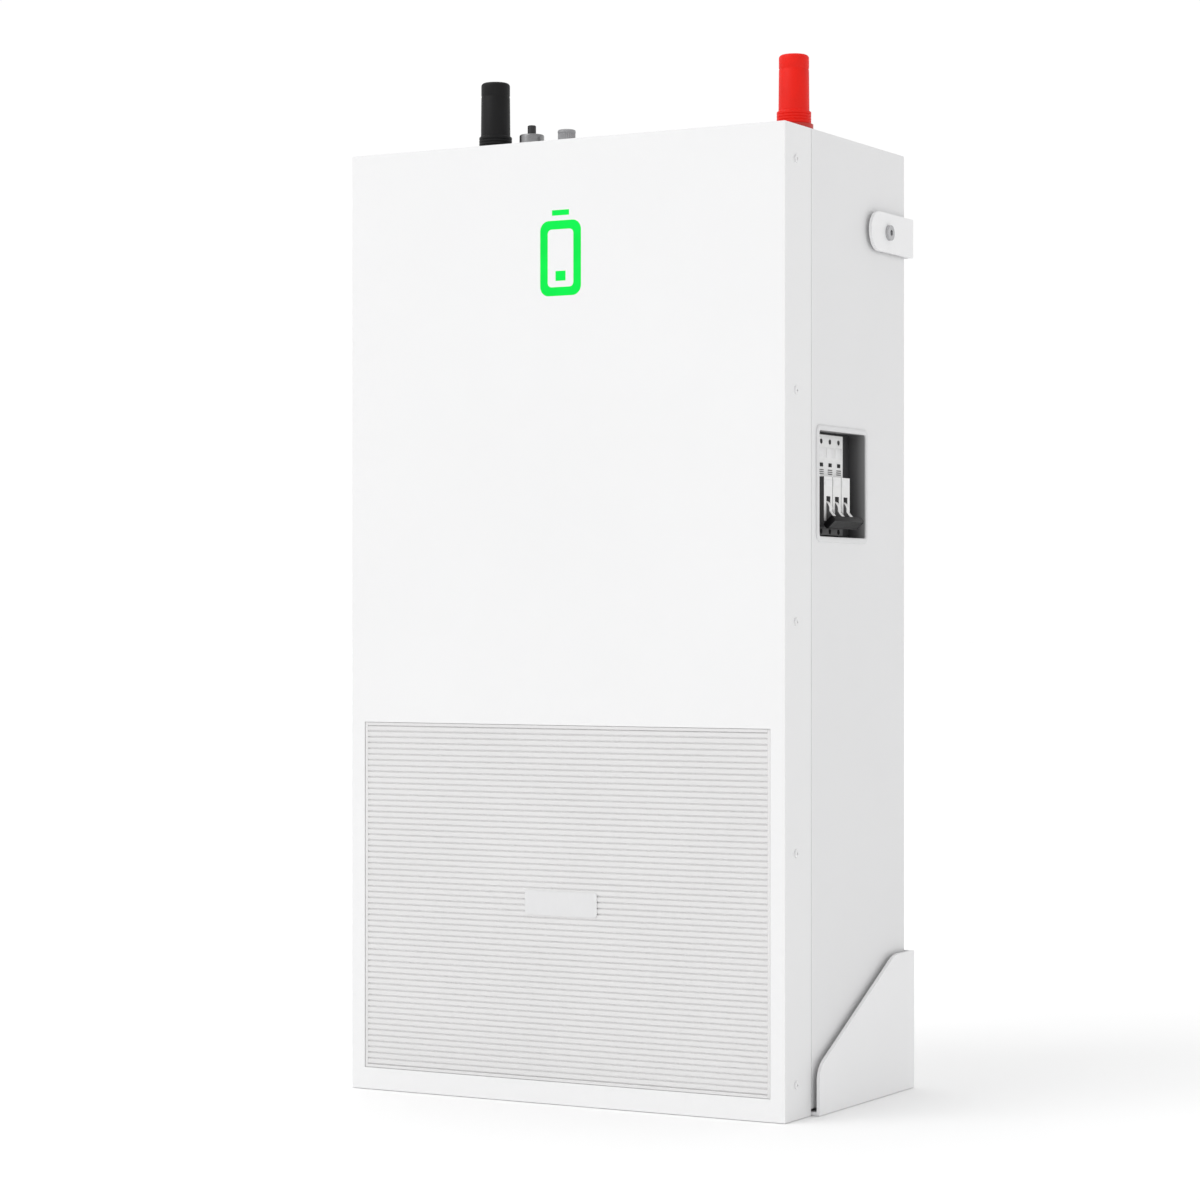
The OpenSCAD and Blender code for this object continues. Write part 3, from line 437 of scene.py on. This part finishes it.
# Edge radius in millimetres
EASED = {"front_cover": 0.7, "side_panel_left": 0.5, "side_panel_right": 0.5, "top_panel": 0.4,
         "upper_wall_rail": 0.6, "lower_wall_bracket": 0.6, "breaker_case": 0.5,
         "badge_plate": 0.15, "cover_screws": 0.25,
         "ear_bolts": 0.5, "negative_base": 0.8, "positive_base": 0.8, "comm_socket": 0.3}
for name, width in EASED.items():
    soften(name, width * MM)


# ---- Ribbed panel -------------------------------------------------------------------------------

def ribbed_panel():
    """Rounded ribs across a closed backing, inside a thin eased frame."""
    low, high = corners(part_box("grille_panel"))
    front, back = low.y, high.y
    side_lap, end_lap, gap, ease = 4 * MM, 6 * MM, 0.3 * MM, 0.3 * MM
    x0, x1 = low.x + side_lap + gap, high.x - side_lap - gap
    z0, z1 = low.z + end_lap + gap, high.z - end_lap - gap
    edge, ribs, depth, steps = 3 * MM, 59, 1.7 * MM, 10
    crest_sink = 0.15 * MM
    plumpness, roundness = 1.45, 0.8
    pitch = (z1 - z0 - 2 * edge) / ribs
    outline = [(back, z0), (front + ease, z0), (front, z0 + ease), (front, z0 + edge - ease)]
    for i in range(ribs):
        for k in range(steps):
            t = k / steps
            crest = min(1.0, plumpness * math.sin(math.pi * t) ** roundness)
            outline.append((front + depth * (1 - crest) + crest_sink, z0 + edge + (i + t) * pitch))
    outline += [(front + depth, z1 - edge), (front, z1 - edge + ease), (front, z1 - ease),
                (front + ease, z1), (back, z1)]
    bm = bmesh.new()
    ends = [[bm.verts.new((x, y, z)) for y, z in outline] for x in (x0 + edge, x1 - edge)]
    bm.faces.new(ends[0])
    bm.faces.new(list(reversed(ends[1])))
    bridge(bm, ends)
    for xa, xb in ((x0, x0 + edge), (x1 - edge, x1)):
        eased_block(bm, (xa, front, z0), (xb, back, z1), ease)
    flange_sink = 1.6 * MM
    eased_block(bm, (low.x, front + flange_sink, low.z), (high.x, back, high.z), ease)
    add_piece("ribbed_panel", bm, "grille_plastic", "unit", ["grille_panel"])


# ---- Breaker and its pocket ---------------------------------------------------------------------

def sweep_round_frame(profile, half_w, half_h, radius, place):
    """Sweeps a closed (outward, up) profile round a rounded rectangle; place maps (u, v, up) to space."""
    corner_steps = 8
    centres = [(half_w - radius, half_h - radius, 0), (radius - half_w, half_h - radius, 90),
               (radius - half_w, radius - half_h, 180), (half_w - radius, radius - half_h, 270)]
    bm = bmesh.new()
    rings = []
    for cu, cv, start in centres:
        for k in range(corner_steps + 1):
            a = math.radians(start + 90 * k / corner_steps)
            rings.append([bm.verts.new(place(cu + (radius + out) * math.cos(a),
                                             cv + (radius + out) * math.sin(a), up))
                          for out, up in profile])
    bridge(bm, rings + rings[:1])
    return bm


def breaker_frame():
    """Moulded bezel: a crowned rim round a pocket with smooth inside corners, and a floor."""
    low, high = corners(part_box("breaker_bezel"))
    middle = (low + high) / 2
    rim, wall, rim_t, radius = 5 * MM, 2 * MM, 1.5 * MM, 2.5 * MM
    half_w = (high.y - low.y) / 2 - rim
    half_h = (high.z - low.z) / 2 - rim
    deep = high.x - low.x
    profile = [(0, -deep), (wall, -deep), (wall, -rim_t), (rim - 0.2 * MM, -rim_t),
               (rim, -rim_t + 0.2 * MM), (rim, -0.9 * MM), (rim - 0.5 * MM, -0.35 * MM),
               (rim - 1.4 * MM, 0), (1.0 * MM, 0), (0.35 * MM, -0.25 * MM), (0, -0.9 * MM)]
    bm = sweep_round_frame(profile, half_w, half_h, radius,
                           lambda u, v, up: (high.x + up, middle.y + u, middle.z + v))
    case_low, case_high = corners(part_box("breaker_case"))
    gap, floor_t, lap = 0.6 * MM, 1.5 * MM, 0.5 * MM
    y0, y1 = middle.y - half_w - lap, middle.y + half_w + lap
    z0, z1 = middle.z - half_h - lap, middle.z + half_h + lap
    ya, yb, za, zb = case_low.y - gap, case_high.y + gap, case_low.z - gap, case_high.z + gap
    for corner_a, corner_b in (((y0, z0), (ya, z1)), ((yb, z0), (y1, z1)),
                               ((ya - lap, z0), (yb + lap, za)), ((ya - lap, zb), (yb + lap, z1))):
        eased_block(bm, (low.x, *corner_a), (low.x + floor_t, *corner_b), 0.2 * MM)
    add_piece("breaker_frame", bm, "bezel_plastic", "unit", ["breaker_bezel"])


def pole_middles(low, high):
    """Width of one pole of the breaker, and the middle of each along Y."""
    pole = (high.y - low.y) / POLES
    return pole, [low.y + (i + 0.5) * pole for i in range(POLES)]


def plates(name, slot, thick, places):
    """Thin eased plates on faces that look along +X; each place is (x, y, z, width, height)."""
    bm = bmesh.new()
    for x, y, z, w, h in places:
        eased_block(bm, (x, y - w / 2, z - h / 2), (x + thick, y + w / 2, z + h / 2), 0.25 * thick)
    add_piece(name, bm, slot, "unit")


def breaker_details():
    """Blank labels, state windows and vent bars on each pole."""
    low, high = corners(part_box("breaker_case"))
    nose_x = high.x
    shoulder_x = high.x - 7 * MM
    pole, ys = pole_middles(low, high)
    upper_label, nose_label, window = 16 * MM, 43.5 * MM, 27 * MM
    first_vent, vent_pitch = 31.5 * MM, 1.8 * MM
    plates("pole_labels", "cover_paint", 0.35 * MM,
           [(shoulder_x, y, high.z - upper_label, pole * 0.84, 9 * MM) for y in ys]
           + [(nose_x, y, high.z - nose_label, pole * 0.8, 6 * MM) for y in ys])
    plates("pole_windows", "toggle_black", 0.5 * MM,
           [(shoulder_x, y, high.z - window, 6 * MM, 3.4 * MM) for y in ys])
    # The vent bars take the pocket moulding, so their dark colour is its painted shade.
    plates("pole_vents", "bezel_plastic", 0.3 * MM,
           [(shoulder_x, y, high.z - (first_vent + vent_pitch * k), pole * 0.5, 0.8 * MM)
            for y in ys for k in range(3)])


def prism(bm, outline, y0, y1, place, ease):
    """Adds an (a, b) outline extruded from y0 to y1 with eased ends; place maps (a, b, y) to space."""
    ends = [[bm.verts.new(place(a, b, y)) for a, b in outline] for y in (y0, y1)]
    caps = [bm.faces.new(ends[0]), bm.faces.new(list(reversed(ends[1])))]
    bridge(bm, [ends[1], ends[0]])
    ease_edges(bm, [e for cap in caps for e in cap.edges], ease, True)


def breaker_toggle():
    """Three pale levers joined by one black tie bar with grip ridges, at rest 45 degrees down."""
    low, high = corners(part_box("breaker_handle"))
    case_low, case_high = corners(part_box("breaker_case"))
    pin_low, pin_high = corners(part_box("breaker_pin"))
    pivot_x, pivot_z = (pin_low.x + pin_high.x) / 2, (pin_low.z + pin_high.z) / 2
    turn = math.radians(-45)

    def place(a, b, y):
        return (pivot_x + a * math.cos(turn) - b * math.sin(turn), y,
                pivot_z + a * math.sin(turn) + b * math.cos(turn))

    hub_r, hub_steps, lever_half_h, lever_half_w = 7.8 * MM, 30, 3.6 * MM, 3.4 * MM
    bar_in, bar_out, bar_half_h, lap = 14 * MM, 20 * MM, 6 * MM, 1 * MM
    start = math.degrees(math.acos(lever_half_h / hub_r))
    hub = [polar(hub_r, math.radians(90 - start + k * (180 + 2 * start) / hub_steps))
           for k in range(hub_steps + 1)]
    lever = hub + [(bar_in + lap, -lever_half_h), (bar_in + lap, lever_half_h)]
    bm = bmesh.new()
    for y in pole_middles(case_low, case_high)[1]:
        prism(bm, lever, y - lever_half_w, y + lever_half_w, place, 0.5 * MM)
    add_piece("toggle_levers", bm, "breaker_plastic", "breaker_toggle", ["breaker_handle"])

    corner, ridges, ridge_steps, ridge_depth = 1.8 * MM, 5, 4, 0.45 * MM
    bar = []
    for ca, cb, begin in ((bar_out - corner, bar_half_h - corner, 0),
                          (bar_in + corner, bar_half_h - corner, 90),
                          (bar_in + corner, corner - bar_half_h, 180),
                          (bar_out - corner, corner - bar_half_h, 270)):
        bar += rounded(ca, cb, corner, begin, begin + 90)
    for k in range(1, ridges * ridge_steps):
        b = (bar_half_h - corner) * (2 * k / (ridges * ridge_steps) - 1)
        bar.append((bar_out - ridge_depth * abs(math.sin(math.pi * k / ridge_steps)), b))
    bm = bmesh.new()
    prism(bm, bar, low.y, high.y, place, 1.2 * MM)
    add_piece("toggle_bar", bm, "toggle_black", "breaker_toggle", ["breaker_handle"])


# ---- Terminals ----------------------------------------------------------------------------------

def boot(node, name, slot, body):
    """Soft insulating cap: grooved skirt, drafted wall, rounded crown and an open bore."""
    low, high = corners(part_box(node))
    outer = (high.x - low.x) / 2
    wall_r = outer - 1.6 * MM
    bore = wall_r - 2.6 * MM
    bore_end, bore_taper = high.z - 4.2 * MM, 2 * MM
    lip, foot_r, shoulder_r, crown_r = 0.5 * MM, 0.8 * MM, 0.9 * MM, 3.2 * MM
    groove = 0.5 * MM
    profile = [(0, bore_end), (bore - bore_taper, bore_end), (bore, bore_end - bore_taper),
               (bore, low.z + lip), (bore + lip, low.z), (outer - foot_r, low.z)]
    profile += rounded(outer - foot_r, low.z + foot_r, foot_r, -75, 0, 4)
    for rise in (3.4 * MM, 6 * MM, 8.6 * MM):
        z = low.z + rise
        profile += [(outer, z - groove), (outer - groove, z), (outer, z + groove)]
    skirt_top = low.z + 12 * MM
    profile += rounded(outer - shoulder_r, skirt_top - 1.5 * MM, shoulder_r, 0, 75, 4)
    top_r = wall_r - 0.35 * MM
    line_depth = 0.3 * MM
    profile += [(wall_r, skirt_top + 0.3 * MM), (top_r, high.z - 14 * MM),
                (top_r - line_depth, high.z - 13.5 * MM), (top_r - line_depth, high.z - 12.5 * MM),
                (top_r, high.z - 12 * MM)]
    profile += rounded(top_r - crown_r, high.z - crown_r, crown_r, 0, 84, 8)
    dish = 0.5 * MM
    profile += [(top_r - 4.2 * MM, high.z - 0.05 * MM), (top_r - 5 * MM, high.z - dish), (0, high.z - dish)]
    add_piece(name, lathe(profile, centre_xy(low, high)), slot, body, [node])


def threaded_rod(bm, axis_point, along, start, length, radius, pitch):
    """Adds a helical screw thread to a bmesh: a tube whose radius follows the thread's phase."""
    along = Vector(along).normalized()
    side = along.orthogonal().normalized()
    other = along.cross(side)
    columns, rows_per_turn = 36, 8
    rows = max(2, int(length / pitch * rows_per_turn))
    depth, run_out, least, sharpness = 0.55 * pitch, 1.2 * pitch, 0.35, 1.2
    rings = []
    for i in range(rows + 1):
        s = length * i / rows
        taper = min(1.0, (length - s) / run_out + least)
        ring = []
        for k in range(columns):
            a = FULL_TURN * k / columns
            phase = (s / pitch - k / columns) % 1.0
            r = radius - depth * abs(2 * phase - 1) ** sharpness
            r = min(r, radius - depth * (1 - taper))
            ring.append(bm.verts.new(Vector(axis_point) + along * (start + s)
                                     + (side * math.cos(a) + other * math.sin(a)) * r))
        rings.append(ring)
    bridge(bm, rings)
    cap_ends(bm, rings)


def stud(node, name):
    """Terminal stud: a smooth shank below the shoulder, a cut thread above it."""
    low, high = corners(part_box(node))
    centre = centre_xy(low, high)
    shank = (high.x - low.x) / 2
    free, ease, sunk = 25 * MM, 0.5 * MM, 0.2 * MM
    shoulder = high.z - free
    bm = lathe([(0, low.z), (shank - ease, low.z), (shank, low.z + ease), (shank, shoulder - ease),
                (shank - ease, shoulder), (0, shoulder)], centre, 64)
    threaded_rod(bm, (*centre, shoulder), (0, 0, 1), -sunk, free + sunk, 5 * MM, 1.5 * MM)
    add_piece(name, bm, "copper", "unit", [node])


def earth_terminal():
    """Brass collar against the case, with a threaded stud that points away from it."""
    low, high = corners(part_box("earth_stud"))
    y, z = (low.y + high.y) / 2, (low.z + high.z) / 2
    collar, sunk = 2 * MM, 0.1 * MM
    bm = lathe([(0, 0), (5 * MM, 0), (5 * MM, 1.6 * MM), (4.6 * MM, collar), (0, collar)], (0, 0), 64)
    bm.transform(Matrix.Translation((high.x, y, z)) @ Matrix.Rotation(-math.pi / 2, 4, "Y"))
    threaded_rod(bm, (high.x - collar, y, z), (-1, 0, 0), -sunk, 7 * MM + sunk, 3 * MM, 1.0 * MM)
    add_piece("earth_terminal", bm, "brass", "unit", ["earth_stud"])


# ---- Button and signal cap ----------------------------------------------------------------------

def button_ring():
    """Turned barrel with a hexagon foot, a groove and a chamfered mouth."""
    low, high = corners(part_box("button_housing"))
    centre = centre_xy(low, high)
    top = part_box("top_panel")[1][2]
    hexagon = (high.x - low.x) / 2
    barrel, bore = hexagon - 1.5 * MM, 4.05 * MM
    neck = barrel - 4 * MM
    bore_floor, foot_h = top - 4 * MM, 3 * MM
    mouth, crown_r, groove = 0.6 * MM, 1.4 * MM, 0.7 * MM
    profile = [(0, bore_floor), (bore, bore_floor), (bore, high.z - mouth), (bore + mouth, high.z),
               (barrel - 3.4 * MM, high.z)]
    profile += rounded(barrel - crown_r, high.z - crown_r, crown_r, 90, 0)
    profile += [(barrel, top + 9 * MM), (barrel - groove, top + 8.4 * MM), (barrel - groove, top + 7.6 * MM),
                (barrel, top + 7 * MM), (barrel, top + foot_h), (neck, top + foot_h), (neck, low.z),
                (0, low.z)]
    bm = lathe(profile, centre)
    foot = bmesh.ops.create_cone(bm, cap_ends=True, segments=6, radius1=hexagon, radius2=hexagon,
                                 depth=foot_h)["verts"]
    bmesh.ops.translate(bm, verts=foot, vec=(*centre, top + foot_h / 2))
    ease_edges(bm, {e for v in foot for e in v.link_edges}, 0.35 * MM, False)
    add_piece("button_ring", bm, "button_metal", "unit", ["button_housing"])


def button_plunger():
    """Plunger with a rounded, slightly dished end."""
    low, high = corners(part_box("power_button"))
    r = (high.x - low.x) / 2
    foot, crown_r = 0.4 * MM, 1.1 * MM
    profile = [(0, low.z), (r - foot, low.z), (r, low.z + foot)]
    profile += rounded(r - crown_r, high.z - crown_r, crown_r, 0, 90)
    profile += [(r * 0.45, high.z - 0.35 * MM), (0, high.z - 0.5 * MM)]
    add_piece("button_plunger", lathe(profile, centre_xy(low, high), 64), "black_plastic", "button",
              ["power_button"])


def return_spring():
    """Wire coil with closed ends under the push button."""
    low, high = corners(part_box("button_spring"))
    cx, cy = centre_xy(low, high)
    wire = 0.5 * MM
    coil = (high.x - low.x) / 2 - wire
    turns, steps, sides = 7, 28, 10
    closed = 2.1 * wire
    open_pitch = (high.z - low.z - 2 * wire - 2 * closed) / (turns - 2)
    bm = bmesh.new()
    rings = []
    for i in range(turns * steps + 1):
        t = i / steps
        z = low.z + wire + closed * min(t, 1) + open_pitch * min(max(t - 1, 0), turns - 2)
        z += closed * max(t - turns + 1, 0)
        ring = []
        for k in range(sides):
            out, up = polar(wire, FULL_TURN * k / sides)
            dx, dy = polar(coil + out, FULL_TURN * t)
            ring.append(bm.verts.new((cx + dx, cy + dy, z + up)))
        rings.append(ring)
    bridge(bm, rings)
    cap_ends(bm, rings)
    piece = add_piece("return_spring", bm, SLOT_OF["button_spring"], "unit", ["button_spring"])
    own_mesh(piece)


def signal_cap():
    """Dust cap with flutes for the fingers between two plain bands."""
    low, high = corners(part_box("comm_cap"))
    cx, cy = centre_xy(low, high)
    outer, bore = (high.x - low.x) / 2, 6.8 * MM
    flutes, columns, flute_depth, step = 24, 192, 0.3 * MM, 0.4 * MM
    grip_r = outer - 0.25 * MM
    levels = [(bore, high.z - 5 * MM, 0), (bore, low.z + step, 0), (bore + step, low.z, 0),
              (outer - 0.5 * MM, low.z, 0), (outer, low.z + 0.5 * MM, 0), (outer, low.z + 2.8 * MM, 0),
              (grip_r, low.z + 3.4 * MM, 1), (grip_r, high.z - 3.4 * MM, 1),
              (outer, high.z - 2.8 * MM, 0), (outer, high.z - 1.2 * MM, 0),
              (outer - step, high.z - step, 0), (outer - 1.2 * MM, high.z, 0),
              (outer - 2.6 * MM, high.z, 0), (outer - 3.0 * MM, high.z - step, 0)]
    bm = bmesh.new()
    rings = []
    for r, z, fluted in levels:
        ring = []
        for k in range(columns):
            a = FULL_TURN * k / columns
            dx, dy = polar(r - fluted * flute_depth * (1 - math.cos(a * flutes)), a)
            ring.append(bm.verts.new((cx + dx, cy + dy, z)))
        rings.append(ring)
    bridge(bm, rings)
    cap_ends(bm, rings)
    add_piece("signal_cap", bm, "button_cap", "comm_cover", ["comm_cap"])


ribbed_panel()
breaker_frame()
breaker_details()
breaker_toggle()
boot("negative_boot", "negative_boot_soft", "black_rubber", "negative_cap")
boot("positive_boot", "positive_boot_soft", "red_rubber", "positive_cap")
stud("negative_stud", "negative_stud_cut")
stud("positive_stud", "positive_stud_cut")
earth_terminal()
button_ring()
button_plunger()
return_spring()
signal_cap()


# ---- Stage --------------------------------------------------------------------------------------

def sun_light(name, towards, strength, softness):
    """A broad soft light whose rays come from the given direction; softness in degrees."""
    data = bpy.data.lights.new(name, "SUN")
    data.energy = strength
    data.angle = math.radians(softness)
    add_object(name, data).rotation_euler = Vector(towards).to_track_quat("Z", "Y").to_euler()


def studio_world():
    """A white horizon under a dimmer dome, so that upright faces keep their shape."""
    world = bpy.data.worlds.new("studio")
    world.use_nodes = True
    nodes, links = world.node_tree.nodes, world.node_tree.links
    direction = nodes.new("ShaderNodeTexCoord").outputs["Generated"]
    horizon_end, dome_start, horizon, dome = 0.22, 0.5, 1.01, 0.6
    strength = map_range(nodes, links, component(nodes, links, direction, "Z"),
                         horizon_end, dome_start, horizon, dome)
    nodes["Background"].inputs["Color"].default_value = (1, 1, 1, 1)
    links.new(strength, nodes["Background"].inputs["Strength"])
    return world


def studio():
    """Pale floor, white surroundings and two soft lights."""
    scene = bpy.context.scene
    scene.view_settings.view_transform = "Standard"
    bm = bmesh.new()
    bmesh.ops.create_grid(bm, x_segments=1, y_segments=1, size=60)
    bmesh.ops.translate(bm, verts=bm.verts, vec=(0, 0, CAD_BOX[0][2] - 0.5 * MM))
    mesh = bpy.data.meshes.new("floor")
    bm.to_mesh(mesh)
    bm.free()
    floor = add_object("floor", mesh)
    mesh.materials.append(surface("floor_pale", (0.97, 0.97, 0.97), (0.85, 0.95), 30.0, 0.0001, 0.002))
    scene.world = studio_world()
    sun_light("key", (-0.55, -0.8, 0.75), 0.79, 45)
    sun_light("overhead", (-0.2, 0.1, 1.0), 0.92, 70)


def camera():
    """The photograph's view: 29.4 degrees to the right of the front, level, at mid height."""
    cover_low, cover_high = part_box("front_cover")
    corner = Vector((cover_high[0], cover_low[1], 0))
    case_h = cover_high[2] - cover_low[2]
    turn = math.radians(29.4)
    right = Vector((math.cos(turn), math.sin(turn), 0))
    ahead = Vector((-math.sin(turn), math.cos(turn), 0))
    left_shift, distance = 0.18437 * case_h, 3.238 * case_h
    data = bpy.data.cameras.new("camera")
    data.lens = 97.47
    data.sensor_width = 36
    data.shift_y = 22 / 1200
    data.clip_end = 200
    cam = add_object("camera", data)
    cam.location = corner - right * left_shift - ahead * distance
    cam.location.z = case_h / 2
    cam.rotation_euler = (math.pi / 2, 0, turn)
    bpy.context.scene.camera = cam


studio()
camera()
